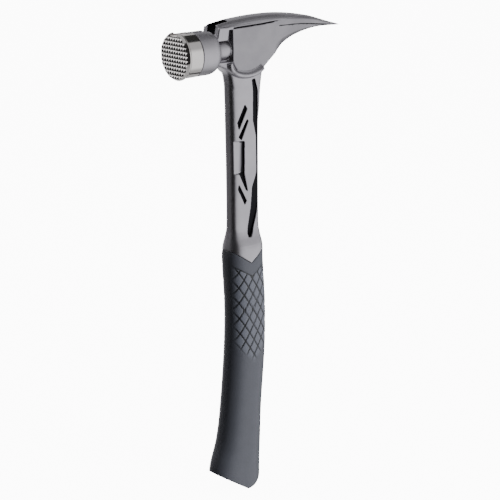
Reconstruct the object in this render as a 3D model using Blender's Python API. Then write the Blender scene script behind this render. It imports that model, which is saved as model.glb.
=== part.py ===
"""Framing hammer: a one-piece titanium head and handle, a replaceable steel striking face and a rubber grip.

The origin is the centre of the grip's end face. X runs along the head, from the striking face at -X to the
claw at +X. Y runs across the hammer, and Z up the handle. Sizes are in millimetres until a piece is finished.
"""

import math

import bmesh
import bpy
from mathutils import Matrix, Vector

MM = 0.001
GAP = 0.3

# Head, measured from the handle's centre line and from the axis of the striking face.
HANDLE_X = 25.0
HEAD_Z = 355.3
FACE_REACH = 62.8
CLAW_REACH = 97.0
BAND_HALF_WIDTH = 10.4
CLAW_TIP_HALF_WIDTH = 7.0
CLAW_SLOT_LENGTH = 47.0
CLAW_SLOT_ROOT_HALF = 0.4
CLAW_SLOT_TIP_HALF = 3.3
CHEEK_INSET = 1.4
CHEEK_FRONT = 12.6
CHEEK_DROP = 21.2
CHEEK_ROUND = 12.0
CHEEK_ROUND_START = 2.5
CHEEK_CHAMFER = 1.6
BLADE_SHARE = 0.3

# Striking face: a steel flange on a round spigot.
TOOTH_DISC_RADIUS = 17.0
FACE_CHAMFER = 2.6
FACE_RADIUS = 18.7
FACE_RIM = 0.6
FLANGE_RADIUS = 17.5
FLANGE_LENGTH = 16.0
BEVEL_LENGTH = 1.6
SPIGOT_RADIUS = 12.8
SPIGOT_LENGTH = 9.6
SPIGOT_CHAMFER = 0.8

# Collar that holds the spigot, and the neck behind it.
COLLAR_RADIUS = 17.4
COLLAR_WALL = 4.0
COLLAR_ROUND = 9.0
COLLAR_ROUND_START = 2.0
NECK_RADIUS = 10.5
NECK_ROUND_X = 4.0
NECK_ROUND = 8.0
NECK_CORE_RADIUS = 5.0
NECK_WEB_HALF = 3.6

# Socket-head screw that holds the face, and its lock washer.
SCREW_RISE = 9.6
SCREW_RADIUS = 2.0
SCREW_GRIP = 8.0
SCREW_HEAD_RADIUS = 3.5
SCREW_HEAD_LENGTH = 4.0
HEX_KEY = 3.0
HEX_DEPTH = 2.2
WASHER_LENGTH = 1.0
SCREW_CHAMFER = 0.4
CHANNEL_CLEARANCE = 0.4

# Nail starter: a groove along the top of the face and collar, two prongs, a slot and a magnet.
GROOVE_HALF_WIDTH = 4.5
GROOVE_FLOOR = 15.4
SLOT_HALF_WIDTH = 4.7
SLOT_END_X = 10.3
PRONG_FRONT_X = 0.4
PRONG_REAR_X = 14.2
PRONG_RAKE = 3.0
PRONG_UNDER = 8.6
PRONG_RISE = 22.1
MAGNET_RADIUS = 3.0
MAGNET_LENGTH = 3.0
MAGNET_RISE = 13.2

# Handle and grip.
HANDLE_HALF_THICKNESS = 7.0
HANDLE_HALF_DEPTH = 13.2
GRIP_HALF_THICKNESS = 13.3
GRIP_HALF_DEPTH = 17.3
SEAM_Z = 184.0
SEAM_SLOPE = 0.72
SHOULDER_RISE = 28.0
TANG_HALF_DEPTH = 9.0
TANG_HALF_THICKNESS = 4.5
TANG_END_Z = 24.0
END_SLOPE = 0.65
HEEL_X = 12.5
HEEL_DEPTH = 18.7
HEEL_RISE = 16.2
POCKET_DEPTH = 2.6
GROOVE_DEPTH = 1.8
PANEL_Z = 269.0

# Size of the helper shapes that cut or keep whole regions.
REACH = 60.0
CUT_HALF_WIDTH = 40.0

RING_POINTS = 28
TURNED_STEPS = 48
SMALL_STEPS = 24


def smooth(points, at):
    """Height at one place on the smooth curve through (place, height) points, straight beyond both ends."""
    count = len(points)
    index = max(0, min(count - 2, sum(place <= at for place, _ in points) - 1))

    def slope(i):
        low, high = max(i - 1, 0), min(i + 1, count - 1)
        return (points[high][1] - points[low][1]) / (points[high][0] - points[low][0])

    (x0, y0), (x1, y1) = points[index], points[index + 1]
    if at <= x0:
        return y0 + slope(index) * (at - x0)
    if at >= x1:
        return y1 + slope(index + 1) * (at - x1)
    run = x1 - x0
    t = (at - x0) / run
    return (
        y0 * (2 * t**3 - 3 * t**2 + 1)
        + y1 * (3 * t**2 - 2 * t**3)
        + slope(index) * run * (t**3 - 2 * t**2 + t)
        + slope(index + 1) * run * (t**3 - t**2)
    )


def oval(centre_x, half_depth, half_thickness, z, power):
    """Points round a rounded rectangle: power 2 is an ellipse, and a higher power is squarer."""
    points = []
    # The half step keeps every corner off the middle plane.
    for step in range(RING_POINTS):
        angle = 2 * math.pi * (step + 0.5) / RING_POINTS
        across, along = math.sin(angle), math.cos(angle)
        x = centre_x + half_depth * math.copysign(abs(along) ** (2 / power), along)
        y = half_thickness * math.copysign(abs(across) ** (2 / power), across)
        points.append(Vector((x, y, z)))
    return points


def loft(sections):
    """A closed solid through rings of points, which are bridged one to the next and capped."""
    bm = bmesh.new()
    loops = []
    for index, section in enumerate(sections):
        ring = bmesh.ops.create_circle(bm, segments=len(section), radius=1)["verts"]
        for vert, point in zip(ring, section):
            vert.co = point
        edges = [edge for edge in bm.edges if edge.verts[0] in ring]
        loops.append(edges)
        if index:
            bmesh.ops.bridge_loops(bm, edges=loops[-2] + loops[-1])
        if index in (0, len(sections) - 1):
            bmesh.ops.contextual_create(bm, geom=edges)
    bmesh.ops.recalc_face_normals(bm, faces=bm.faces[:])
    return bm


def turned(profile, rise=0.0, steps=TURNED_STEPS):
    """A solid turned about a line along X. Its (x, radius) points end on the line or close on themselves."""
    bm = bmesh.new()
    verts = [bm.verts.new((x, 0, radius)) for x, radius in profile]
    edges = [bm.edges.new(pair) for pair in zip(verts, verts[1:])]
    bmesh.ops.spin(
        bm, geom=verts + edges, cent=(0, 0, 0), axis=(1, 0, 0), angle=2 * math.pi, steps=steps, use_merge=True
    )
    bmesh.ops.remove_doubles(bm, verts=bm.verts[:], dist=0.001)
    bmesh.ops.recalc_face_normals(bm, faces=bm.faces[:])
    # Half a step of turn puts a flat at the top, so that no corner of one turned piece meets one of another.
    half_step = Matrix.Rotation(math.pi / steps, 3, "X")
    bmesh.ops.rotate(bm, verts=bm.verts[:], cent=(0, 0, 0), matrix=half_step)
    bmesh.ops.translate(bm, verts=bm.verts[:], vec=(0, 0, HEAD_Z + rise))
    return bm


def prism(outline, y_low, y_high):
    """An outline of (x, z) points extruded across the hammer."""
    bm = bmesh.new()
    face = bm.faces.new([bm.verts.new((x, y_low, z)) for x, z in outline])
    made = bmesh.ops.extrude_face_region(bm, geom=[face])["geom"]
    moved = [item for item in made if isinstance(item, bmesh.types.BMVert)]
    bmesh.ops.translate(bm, verts=moved, vec=(0, y_high - y_low, 0))
    bmesh.ops.recalc_face_normals(bm, faces=bm.faces[:])
    return bm


def box(low, high):
    """A block between two opposite corners."""
    bm = bmesh.new()
    size = Vector(high) - Vector(low)
    centre = (Vector(high) + Vector(low)) / 2
    bmesh.ops.create_cube(bm, size=1, matrix=Matrix.Translation(centre) @ Matrix.Diagonal(size).to_4x4())
    return bm


def hidden(bm, name):
    """A helper object for Booleans, which isn't part of the hammer."""
    helper = made_object(bm, name)
    helper.hide_render = True
    helper.display_type = "WIRE"
    helper.hide_set(True)
    return helper


def made_object(bm, name):
    """Turns a shape in millimetres into an object in metres."""
    bmesh.ops.scale(bm, verts=bm.verts[:], vec=(MM, MM, MM))
    mesh = bpy.data.meshes.new(name)
    bm.to_mesh(mesh)
    bm.free()
    made = bpy.data.objects.new(name, mesh)
    bpy.context.collection.objects.link(made)
    return made


def finish(piece, material, sharp_degrees=30):
    """Gives a piece its material and smooths its round faces."""
    piece.data.materials.append(material)
    piece.data.shade_smooth()
    piece.data.set_sharp_from_angle(angle=math.radians(sharp_degrees))
    return piece


def combine(piece, operation, helpers, solver="EXACT"):
    """Adds one Boolean for each helper, in order."""
    for helper in helpers:
        modifier = piece.modifiers.new(helper.name, "BOOLEAN")
        modifier.operation = operation
        modifier.solver = solver
        modifier.object = helper


def principled(name, colour, metallic, roughness):
    material = bpy.data.materials.new(name)
    material.use_nodes = True
    shader = material.node_tree.nodes["Principled BSDF"]
    shader.inputs["Base Color"].default_value = (*colour, 1)
    shader.inputs["Metallic"].default_value = metallic
    shader.inputs["Roughness"].default_value = roughness
    return material


def handle_line():
    """(z, centre x, half depth, half thickness, power) up the handle, from the butt to the head."""
    top = HEAD_Z - 10
    bottom = SEAM_Z + SHOULDER_RISE
    bare = top - bottom
    return (
        (-14.0, 7.0, GRIP_HALF_DEPTH + 6.2, GRIP_HALF_THICKNESS + 0.7, 2.5),
        (12.0, 8.9, GRIP_HALF_DEPTH + 5.0, GRIP_HALF_THICKNESS + 0.7, 2.5),
        (34.0, 13.2, GRIP_HALF_DEPTH + 1.9, GRIP_HALF_THICKNESS + 0.3, 2.5),
        (60.0, 16.5, GRIP_HALF_DEPTH + 0.3, GRIP_HALF_THICKNESS, 2.5),
        (0.60 * SEAM_Z, 22.0, GRIP_HALF_DEPTH, GRIP_HALF_THICKNESS, 2.5),
        (0.80 * SEAM_Z, HANDLE_X - 1.4, GRIP_HALF_DEPTH - 0.3, GRIP_HALF_THICKNESS, 2.5),
        (SEAM_Z + 2, HANDLE_X - 2.6, GRIP_HALF_DEPTH - 0.9, GRIP_HALF_THICKNESS - 0.3, 2.5),
        (SEAM_Z + 13, HANDLE_X - 2.0, GRIP_HALF_DEPTH - 1.7, GRIP_HALF_THICKNESS - 1.6, 2.6),
        (SEAM_Z + 21, HANDLE_X - 1.8, HANDLE_HALF_DEPTH + 1.0, HANDLE_HALF_THICKNESS + 1.6, 3.2),
        (bottom, HANDLE_X - 1.6, HANDLE_HALF_DEPTH, HANDLE_HALF_THICKNESS, 4.5),
        (bottom + 0.4 * bare, HANDLE_X - 0.4, HANDLE_HALF_DEPTH - 0.1, HANDLE_HALF_THICKNESS, 4.5),
        (bottom + 0.8 * bare, HANDLE_X + 0.4, HANDLE_HALF_DEPTH + 0.4, HANDLE_HALF_THICKNESS, 4.5),
        (top - 10, HANDLE_X + 1.0, HANDLE_HALF_DEPTH + 1.8, HANDLE_HALF_THICKNESS, 4.5),
        (top, HANDLE_X + 0.6, HANDLE_HALF_DEPTH + 6.0, HANDLE_HALF_THICKNESS, 4.5),
    )


def handle_section(z):
    """Centre x, half depth, half thickness and power of the handle and grip at one height."""
    line = handle_line()
    return [smooth([(key[0], key[item]) for key in line], z) for item in range(1, 5)]


def handle_solid(z_low, z_high, steps):
    """The handle and grip's outer shape between two heights."""
    sections = []
    for step in range(steps + 1):
        z = z_low + (z_high - z_low) * step / steps
        centre_x, half_depth, half_thickness, power = handle_section(z)
        sections.append(oval(centre_x, half_depth, half_thickness, z, power))
    return loft(sections)


def tang_solid(clearance):
    """The bar that runs down inside the grip, grown by a clearance for the grip's cavity."""
    z_low, z_high = TANG_END_Z - clearance, SEAM_Z + 16
    half_depth, half_thickness = TANG_HALF_DEPTH + clearance, TANG_HALF_THICKNESS + clearance
    steps = 8
    sections = []
    for step in range(steps + 1):
        z = z_low + (z_high - z_low) * step / steps
        sections.append(oval(handle_section(z)[0], half_depth, half_thickness, z, 5.0))
    return loft(sections)


def seam_outline(drop):
    """The region above the V-shaped seam between the bare handle and the grip."""
    centre = HANDLE_X - 3.0
    side, top = SEAM_Z - drop + SEAM_SLOPE * REACH, HEAD_Z + 20
    return [
        (centre, SEAM_Z - drop),
        (centre + REACH, side),
        (centre + REACH, top),
        (centre - REACH, top),
        (centre - REACH, side),
    ]


def butt_outline():
    """The region above the sloped end face and the rounded heel, seen from the side."""
    top = SEAM_Z + REACH
    steps = 8
    arc = []
    for step in range(steps + 1):
        angle = 0.5 * math.pi * step / steps
        x = HEEL_X + HEEL_DEPTH * math.sin(angle)
        arc.append((x, -END_SLOPE * HEEL_X + HEEL_RISE * (1 - math.cos(angle))))
    heel_x, heel_z = arc[-1]
    far = [(heel_x + REACH, heel_z + 0.25 * REACH), (heel_x + REACH, top), (-REACH, top)]
    return [(-REACH, END_SLOPE * REACH)] + arc + far


def claw_section(reach):
    """One slice across the head at a distance behind the handle's centre line.

    From the top down, each side has the crowned top band, its upright edge, the inset cheek and the foot.
    """
    share = reach / CLAW_REACH
    top = smooth(
        ((-0.28, 21.6), (-0.12, 23.6), (0.15, 24.8), (0.40, 23.2), (0.68, 18.2), (0.88, 11.9), (1.0, 9.0)),
        share,
    )
    lip = smooth(((-0.28, 18.0), (0.1, 18.4), (0.4, 19.0), (0.7, 14.4), (0.88, 10.6), (1.0, 8.6)), share)
    crease = smooth(((0.2, 5.0), (0.34, 14.6), (0.56, 14.0), (0.77, 11.5), (1.0, 8.4)), share)
    under = smooth(((0.16, -18.6), (0.24, -12.0), (0.36, -3.2), (0.52, 4.2), (0.73, 8.6), (1.0, 8.2)), share)
    crown = smooth(((-0.28, 2.6), (0.3, 3.0), (0.7, 1.4), (1.0, 0.3)), share)
    if reach < CHEEK_ROUND_START:
        forwards = (CHEEK_ROUND_START - reach) / (CHEEK_FRONT + CHEEK_ROUND_START)
        bottom = CHEEK_ROUND * forwards**2.6 - CHEEK_DROP
    else:
        bottom = max(under, -CHEEK_DROP)
    is_blade = share > BLADE_SHARE
    narrowing = max(0.0, (share - BLADE_SHARE) / (1 - BLADE_SHARE)) ** 1.6
    half = BAND_HALF_WIDTH + (CLAW_TIP_HALF_WIDTH - BAND_HALF_WIDTH) * narrowing
    cheek = half - CHEEK_INSET * min(1.0, (1.0 - share) / 0.6)
    crease = max(min(crease, lip - 0.2), bottom + 0.4)
    foot_inset = min(3.0, 0.6 * (crease - bottom)) if is_blade else CHEEK_CHAMFER
    side = [
        (0.55 * half, top - 0.3 * crown),
        (half, top - crown),
        (half, lip),
        (cheek, lip - 0.1),
        (cheek, crease if is_blade else bottom + CHEEK_CHAMFER),
        (cheek - foot_inset, bottom),
    ]
    x = HANDLE_X + reach
    right = [Vector((x, y, HEAD_Z + z)) for y, z in side]
    left = [Vector((x, -y, HEAD_Z + z)) for y, z in reversed(side)]
    return [Vector((x, 0, HEAD_Z + top))] + right + left


def claw_solid():
    blade_start = 18.0
    blade_steps = 10
    reaches = [-CHEEK_FRONT, -11.8, -10.0, -7.0, -3.0, 2.0, 8.0, 13.0]
    step_length = (CLAW_REACH - blade_start) / blade_steps
    reaches += [blade_start + step_length * step for step in range(blade_steps + 1)]
    return loft([claw_section(reach) for reach in reaches])


def prong_solid():
    """The front of the top band: a deep block with a crowned top and a raked front."""
    edge = PRONG_RISE - 2.9
    side = [
        (0.55 * BAND_HALF_WIDTH, PRONG_RISE - 0.8),
        (BAND_HALF_WIDTH, edge),
        (BAND_HALF_WIDTH, PRONG_UNDER),
    ]
    outline = [(0, PRONG_RISE)] + side + [(-y, z) for y, z in reversed(side)]
    sections = []
    for end_x in (PRONG_FRONT_X, PRONG_REAR_X):
        rake = PRONG_RAKE / (edge - PRONG_UNDER)
        sections.append([Vector((end_x + rake * (z - edge), y, HEAD_Z + z)) for y, z in outline])
    return loft(sections)


def claw_slot():
    """The V-shaped gap between the two claws, cut down through the blade."""
    tip = HANDLE_X + CLAW_REACH
    root = tip - CLAW_SLOT_LENGTH
    root_half, tip_half = CLAW_SLOT_ROOT_HALF, CLAW_SLOT_TIP_HALF
    beyond = 2.0
    outline = [(root, root_half), (root - 2 * root_half, 0), (root, -root_half)]
    outline += [(tip, -tip_half), (tip + beyond, -tip_half), (tip + beyond, tip_half), (tip, tip_half)]
    slot = prism([(x, y) for x, y in outline], 0, CUT_HALF_WIDTH)
    # The outline was drawn upright, so a quarter turn about X lays it flat and points it up.
    bmesh.ops.rotate(slot, verts=slot.verts[:], cent=(0, 0, 0), matrix=Matrix.Rotation(math.pi / 2, 3, "X"))
    bmesh.ops.translate(slot, verts=slot.verts[:], vec=(0, 0, HEAD_Z - 0.25 * CUT_HALF_WIDTH))
    return slot


def pocket_outlines():
    """Sunk shapes on the handle's cheek: (outline, depth), in x from the centre line and z from the panel."""
    rear = [(6.4, 61), (9.2, 61.7), (12.0, 52), (11.6, 22), (11.0, -14), (10.5, -37), (8.5, -45.4)]
    rear += [(1.9, -61.7), (-0.9, -64.3), (3.5, -42), (4.1, -24.4), (9.0, -13.5)]
    rear += [(9.4, 15), (6.5, 29), (7.2, 52.7)]
    return (
        ([(-1.2, 42.3), (0.9, 38.8), (-7.8, 22.6), (-8.8, 28.8)], POCKET_DEPTH),
        ([(0.7, 30.5), (1.8, 29.1), (-5.5, 14.5), (-8.1, 17.1)], POCKET_DEPTH),
        ([(-8.6, -12.0), (-3.6, -11.6), (-0.3, -27.7), (-2.2, -26.1)], POCKET_DEPTH),
        ([(-9.0, -20.6), (-1.7, -35.0), (-3.7, -38.1), (-9.7, -24.9)], POCKET_DEPTH),
        ([(-16.0, 14.0), (-3.0, 13.4), (-3.4, -12.3), (-16.0, -11.4)], GROOVE_DEPTH),
        (rear, GROOVE_DEPTH),
    )


def pockets():
    """Cutters for both cheeks."""
    made = []
    for number, (outline, depth) in enumerate(pocket_outlines()):
        points = [(HANDLE_X + x, PANEL_Z + z) for x, z in outline]
        floor = HANDLE_HALF_THICKNESS - depth
        made.append(hidden(prism(points, floor, CUT_HALF_WIDTH), f"pocket_{number}_far"))
        made.append(hidden(prism(points, -CUT_HALF_WIDTH, -floor), f"pocket_{number}_near"))
    return made


def face_x():
    """The plane of the striking face."""
    return HANDLE_X - FACE_REACH


def seat_x():
    """Where the flange of the striking face meets the collar."""
    return face_x() + FLANGE_LENGTH


def spigot_end_x():
    """The rear end of the spigot, inside the collar."""
    return seat_x() + SPIGOT_LENGTH


def screw_seat_x():
    """The collar's rear wall, where the lock washer bears."""
    return spigot_end_x() + GAP + COLLAR_WALL


def bored(radius, x_low, x_high, name, rise, steps=SMALL_STEPS):
    """A round cutter along X, at a height above the head's axis."""
    profile = [(x_low, 0), (x_low, radius), (x_high, radius), (x_high, 0)]
    return hidden(turned(profile, rise, steps), name)


def screw_way(seat):
    """One stepped cutter: the shank's hole through the collar's rear wall, and the head's wider channel."""
    start = spigot_end_x() - 3
    end = SLOT_END_X - 2
    hole = SCREW_RADIUS + GAP
    channel = SCREW_HEAD_RADIUS + CHANNEL_CLEARANCE
    profile = [(start, 0), (start, hole), (seat, hole), (seat, channel), (end, channel), (end, 0)]
    return hidden(turned(profile, SCREW_RISE, SMALL_STEPS), "screw_way")


def groove_cutter(name):
    low = (face_x() - 5, -GROOVE_HALF_WIDTH, HEAD_Z + GROOVE_FLOOR)
    high = (screw_seat_x() + 3, GROOVE_HALF_WIDTH, HEAD_Z + CUT_HALF_WIDTH)
    return hidden(box(low, high), name)


def collar_solid():
    """Collar with the spigot's bore, then a rounded shoulder and the neck."""
    front = seat_x() + GAP
    shoulder = screw_seat_x() - COLLAR_ROUND_START
    neck_end = HANDLE_X - 4
    bore_end, bore_radius = spigot_end_x() + GAP, SPIGOT_RADIUS + GAP
    profile = [(bore_end, 0), (bore_end, bore_radius), (front, bore_radius), (front, COLLAR_RADIUS)]
    steps = 6
    for step in range(steps + 1):
        angle = 0.5 * math.pi * step / steps
        radius = NECK_RADIUS + (COLLAR_RADIUS - NECK_RADIUS) * math.cos(angle)
        profile.append((shoulder + COLLAR_ROUND * math.sin(angle), radius))
    steps = 4
    for step in range(steps + 1):
        angle = 0.5 * math.pi * step / steps
        radius = NECK_CORE_RADIUS + (NECK_RADIUS - NECK_CORE_RADIUS) * math.cos(angle)
        profile.append((NECK_ROUND_X + NECK_ROUND * math.sin(angle), radius))
    profile += [(neck_end, NECK_CORE_RADIUS), (neck_end, 0)]
    return turned(profile)


def neck_web():
    """The thin wall behind the neck and the prongs, which joins them to the cheek plates."""
    outline = [(4.0, 19.5), (16.0, 19.5), (16.0, -14.0), (8.0, -13.0), (4.0, -9.0)]
    return prism([(x, HEAD_Z + z) for x, z in outline], -NECK_WEB_HALF, NECK_WEB_HALF)


def gusset_solid():
    """The ledge under the neck, where the handle's front edge sweeps forward to meet the collar."""
    outline = [(-3.4, -9.6), (1.0, -12.6), (5.0, -13.4), (8.2, -15.4), (10.6, -18.8), (11.8, -24.0)]
    outline += [(24.0, -24.0), (24.0, -6.0), (12.0, -10.6), (-2.0, -8.6)]
    points = [(x, HEAD_Z + z) for x, z in outline]
    half = HANDLE_HALF_THICKNESS - 0.4
    return prism(points, -half, half)


def titanium_frame(material):
    """Head, collar, neck, claw, handle and the tang inside the grip, which are one casting."""
    frame = made_object(handle_solid(SEAM_Z - 2, HEAD_Z - 10, 22), "titanium_frame")
    keeper = prism(seam_outline(0.0), -CUT_HALF_WIDTH, CUT_HALF_WIDTH)
    combine(frame, "INTERSECT", [hidden(keeper, "seam_keeper")])
    head = [
        (claw_solid(), "claw_body"),
        (collar_solid(), "collar_body"),
        (neck_web(), "neck_web"),
        (prong_solid(), "prong_body"),
        (gusset_solid(), "gusset_body"),
        (tang_solid(0.0), "tang_body"),
    ]
    combine(frame, "UNION", [hidden(bm, name) for bm, name in head])
    seat = screw_seat_x()
    slot_low = (seat + 1.5, -SLOT_HALF_WIDTH, HEAD_Z + SCREW_RISE)
    slot_high = (SLOT_END_X, SLOT_HALF_WIDTH, HEAD_Z + CUT_HALF_WIDTH)
    magnet_end = SLOT_END_X + MAGNET_LENGTH + 2 * GAP
    cutters = [
        screw_way(seat),
        hidden(box(slot_low, slot_high), "nail_slot"),
        bored(MAGNET_RADIUS + GAP, SLOT_END_X - 1, magnet_end, "magnet_pocket", MAGNET_RISE),
        groove_cutter("collar_groove"),
        hidden(claw_slot(), "claw_slot"),
    ]
    # Many small cuts follow one another here, and the exact solver leaves open edges between them.
    combine(frame, "DIFFERENCE", cutters + pockets(), "MANIFOLD")
    return finish(frame, material)


def striking_face(material):
    """Steel face: a chamfer out to the rim, a bevel down to the flange, and the spigot behind it."""
    front, seat, end = face_x(), seat_x(), spigot_end_x()
    rim = front + FACE_CHAMFER
    profile = [
        (front, 0),
        (front, TOOTH_DISC_RADIUS),
        (rim, FACE_RADIUS),
        (rim + FACE_RIM, FACE_RADIUS),
        (rim + FACE_RIM + BEVEL_LENGTH, FLANGE_RADIUS),
        (seat, FLANGE_RADIUS),
        (seat, SPIGOT_RADIUS),
        (end - SPIGOT_CHAMFER, SPIGOT_RADIUS),
        (end, SPIGOT_RADIUS - SPIGOT_CHAMFER),
        (end, 0),
    ]
    face = made_object(turned(profile), "striking_face")
    hole = bored(SCREW_RADIUS + GAP, end - SCREW_GRIP - 2 * GAP, end + 3, "face_thread", SCREW_RISE)
    combine(face, "DIFFERENCE", [hole, groove_cutter("face_groove")])
    return finish(face, material)


def face_screw(material):
    """Socket-head cap screw along X, with its head towards the claw."""
    seat = screw_seat_x() + GAP + WASHER_LENGTH + GAP
    tip, top = spigot_end_x() - SCREW_GRIP, seat + SCREW_HEAD_LENGTH
    profile = [
        (tip, 0),
        (tip, SCREW_RADIUS - SCREW_CHAMFER),
        (tip + SCREW_CHAMFER, SCREW_RADIUS),
        (seat, SCREW_RADIUS),
        (seat, SCREW_HEAD_RADIUS),
        (top - SCREW_CHAMFER, SCREW_HEAD_RADIUS),
        (top, SCREW_HEAD_RADIUS - SCREW_CHAMFER),
        (top, 0),
    ]
    screw = made_object(turned(profile, SCREW_RISE, SMALL_STEPS), "face_screw")
    # The key size is measured across the hexagon's flats, and the cutter's radius to its corners.
    hexagon = HEX_KEY / math.sqrt(3)
    combine(screw, "DIFFERENCE", [bored(hexagon, top - HEX_DEPTH, top + 1, "hex_socket", SCREW_RISE, 6)])
    return finish(screw, material)


def lock_washer(material):
    """Plain ring between the collar's rear wall and the screw's head."""
    low = screw_seat_x() + GAP
    high = low + WASHER_LENGTH
    hole = SCREW_RADIUS + GAP
    profile = [(low, hole), (low, SCREW_HEAD_RADIUS), (high, SCREW_HEAD_RADIUS), (high, hole), (low, hole)]
    return finish(made_object(turned(profile, SCREW_RISE, SMALL_STEPS), "lock_washer"), material)


def nail_magnet(material):
    """Round magnet in the rear wall of the nail slot, behind a nail's head."""
    low = SLOT_END_X + GAP
    high = low + MAGNET_LENGTH
    profile = [(low, 0), (low, MAGNET_RADIUS), (high, MAGNET_RADIUS), (high, 0)]
    return finish(made_object(turned(profile, MAGNET_RISE, SMALL_STEPS), "nail_magnet"), material)


def rubber_grip(material):
    """Moulded grip round the tang, with a V-shaped top edge and a sloped end."""
    grip = made_object(handle_solid(-14, SEAM_Z + 20, 24), "rubber_grip")
    keeper = prism(butt_outline(), -CUT_HALF_WIDTH, CUT_HALF_WIDTH)
    combine(grip, "INTERSECT", [hidden(keeper, "butt_keeper")])
    # A gap measured square to the sloped seam is a little longer when it is measured upright.
    seam_drop = GAP * math.hypot(1, SEAM_SLOPE)
    above_seam = prism(seam_outline(seam_drop), -CUT_HALF_WIDTH, CUT_HALF_WIDTH)
    combine(grip, "DIFFERENCE", [hidden(above_seam, "seam_cutter"), hidden(tang_solid(GAP), "tang_cavity")])
    return finish(grip, material)


def main():
    for old in list(bpy.data.objects):
        bpy.data.objects.remove(old, do_unlink=True)
    titanium = principled("cast titanium", (0.36, 0.35, 0.37), 1.0, 0.42)
    steel = principled("polished steel", (0.56, 0.55, 0.54), 1.0, 0.22)
    black_steel = principled("black oxide steel", (0.03, 0.03, 0.03), 0.6, 0.45)
    magnet = principled("nickel plate", (0.6, 0.58, 0.55), 1.0, 0.25)
    rubber = principled("moulded rubber", (0.035, 0.037, 0.043), 0.0, 0.55)
    titanium_frame(titanium)
    striking_face(steel)
    face_screw(black_steel)
    lock_washer(black_steel)
    nail_magnet(magnet)
    rubber_grip(rubber)


main()
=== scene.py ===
# %% [markdown]
# # A titanium framing hammer
#
# This lesson builds a hammer whose head and handle are one titanium casting. A milled steel face is screwed
# to the front of the head, and a rubber grip is moulded round the lower half of the handle.
#
# The lesson has four parts: a few helpers, the camera and the light, the materials, and the pieces.
#
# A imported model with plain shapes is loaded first. It fixes where each piece goes and how it moves.

import math

import bmesh
import bpy
import numpy as np
from mathutils import Matrix, Vector


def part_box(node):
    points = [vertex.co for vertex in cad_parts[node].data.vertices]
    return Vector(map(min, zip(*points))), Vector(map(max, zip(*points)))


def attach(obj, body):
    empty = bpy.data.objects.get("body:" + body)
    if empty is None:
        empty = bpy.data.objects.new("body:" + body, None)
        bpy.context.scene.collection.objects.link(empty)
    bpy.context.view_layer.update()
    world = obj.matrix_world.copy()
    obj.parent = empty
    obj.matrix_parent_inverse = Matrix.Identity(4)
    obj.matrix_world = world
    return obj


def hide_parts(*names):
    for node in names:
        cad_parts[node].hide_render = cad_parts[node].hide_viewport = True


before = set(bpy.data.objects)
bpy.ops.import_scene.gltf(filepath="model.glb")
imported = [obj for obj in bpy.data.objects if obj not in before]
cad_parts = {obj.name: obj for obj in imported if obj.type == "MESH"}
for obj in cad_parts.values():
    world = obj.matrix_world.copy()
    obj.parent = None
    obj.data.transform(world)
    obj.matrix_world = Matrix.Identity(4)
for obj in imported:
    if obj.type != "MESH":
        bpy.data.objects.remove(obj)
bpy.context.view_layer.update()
print("nodes:", sorted(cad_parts))

# %% [markdown]
# ## Sizes
#
# Every size is in millimetres. X runs along the head, from the striking face at -X to the claw at +X. Y runs
# across the hammer and Z up the handle. The origin lies on the grip's sloped end, near its middle.

# %%
GAP = 0.3  # between two pieces that fit together
HANDLE_X = 25.0  # centre line of the bare handle
HEAD_Z = 355.3  # axis of the striking face
FACE_X = -37.8  # plane of the teeth's tips
TOOTH_DISC_RADIUS = 17.0
FACE_RADIUS = 18.65
FLANGE_RADIUS = 17.5
SEAT_X = FACE_X + 16.0  # where the flange meets the collar
SPIGOT_RADIUS = 12.8
SPIGOT_END_X = SEAT_X + 9.6
COLLAR_RADIUS = 17.4
SCREW_RISE = 9.6  # height of the screw above the head's axis
MAGNET_RISE = 13.2
CLAW_REACH = 97.0  # claw tip behind the handle's centre line
BAND_HALF_WIDTH = 10.4  # half width of the head's top band
TIP_HALF_WIDTH = 7.0
SLOT_HALF_WIDTH = 4.7  # half width of the nail slot
SLOT_END_X = 10.3
SCREW_HOLE_RADIUS = 2.3
SCREW_CHANNEL_RADIUS = 3.9  # room for the screw's head behind the collar
MAGNET_HOLE_RADIUS = 3.3
COLLAR_WALL = 4.0  # thickness of the collar's rear wall, which the screw goes through
COLLAR_WALL_END_X = SPIGOT_END_X + GAP + COLLAR_WALL
HANDLE_HALF_THICKNESS = 7.0  # of the bare handle
SEAM_Z = 184.0  # lowest point of the V where handle and grip meet
SEAM_SLOPE = 0.72

# %% [markdown]
# ## Helpers for curves and solids
#
# `smooth` reads a height off a soft curve through a few points. A long shape is then described by a handful
# of numbers instead of hundreds.
#
# `loft` makes a closed solid from rings of points. `create_circle` makes each ring, `bridge_loops` joins it
# to the one before, and the two ends are filled.


# %%
def smooth(points, at):
    """Height at one place on the soft curve through (place, height) points."""
    count = len(points)
    index = max(0, min(count - 2, sum(place <= at for place, _ in points) - 1))

    def slope(i):
        low, high = max(i - 1, 0), min(i + 1, count - 1)
        return (points[high][1] - points[low][1]) / (points[high][0] - points[low][0])

    (x0, y0), (x1, y1) = points[index], points[index + 1]
    if at <= x0:
        return y0 + slope(index) * (at - x0)
    if at >= x1:
        return y1 + slope(index + 1) * (at - x1)
    run = x1 - x0
    t = (at - x0) / run
    ends = y0 * (2 * t**3 - 3 * t**2 + 1) + y1 * (3 * t**2 - 2 * t**3)
    return ends + slope(index) * run * (t**3 - 2 * t**2 + t) + slope(index + 1) * run * (t**3 - t**2)


def spread(low, high, steps):
    """Evenly spaced numbers from low to high, both included."""
    return [low + (high - low) * step / steps for step in range(steps + 1)]


def curve(rows, steps):
    """A soft curve through a few (x, z) points, as many evenly spread points."""
    places = [index / (len(rows) - 1) for index in range(len(rows))]
    across = list(zip(places, [row[0] for row in rows]))
    upwards = list(zip(places, [row[1] for row in rows]))
    return [(smooth(across, at), smooth(upwards, at)) for at in spread(0.0, 1.0, steps)]


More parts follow.
